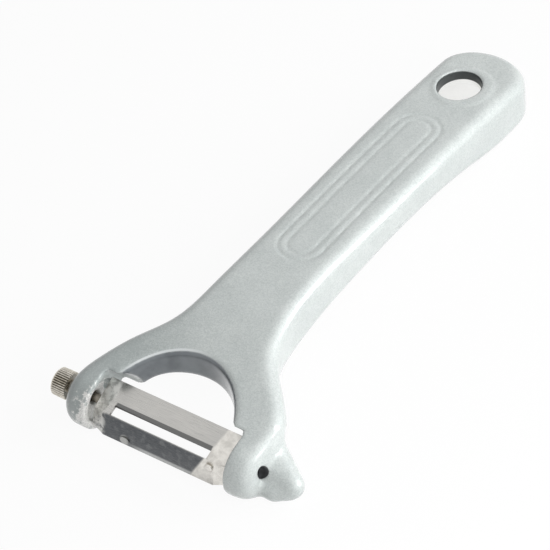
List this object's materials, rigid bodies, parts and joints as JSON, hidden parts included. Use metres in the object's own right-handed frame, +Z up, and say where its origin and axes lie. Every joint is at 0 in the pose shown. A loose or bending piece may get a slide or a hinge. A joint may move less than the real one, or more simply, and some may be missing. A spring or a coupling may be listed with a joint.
{
  "type": "vegetable peeler",
  "caption": "Y-form vegetable peeler with a bowed cast handle, hanging hole, swivel blade with a central slot, release thumb screw and a blunt eye-removing lug beside the fork.",
  "frame": {"origin": "middle of the outline seen from above, on the table plane that the ears and the tail touch", "axes": "+X along the blade's pivot line towards the lug's side, +Y along the handle from the blade to the hanging hole, +Z up, out of the handle's bowed top"},
  "size_m": [0.081, 0.18, 0.0252],
  "materials": {
    "cast_frame": "silver-grey painted casting, satin",
    "swivel_blade": "rolled steel strip with ground edges",
    "pivot_pin": "plain steel",
    "thumb_screw": "nickel plated, knurled"
  },
  "bodies": {
    "frame": {"cast_frame": "cast_frame", "pivot_pin": "pivot_pin"},
    "blade": {"swivel_blade": "swivel_blade"},
    "screw": {"thumb_screw": "thumb_screw"}
  },
  "joints": [
    {"name": "blade_swivel", "type": "hinge", "parent": "frame", "child": "blade", "pos_m": [-0.0022, -0.0812, 0.0088], "axis": [1, 0, 0], "range_deg": [-35, 35]},
    {"name": "screw_release", "type": "slide", "parent": "frame", "child": "screw", "axis": [-1, 0, 0], "range_m": [0, 0.0082]}
  ]
}
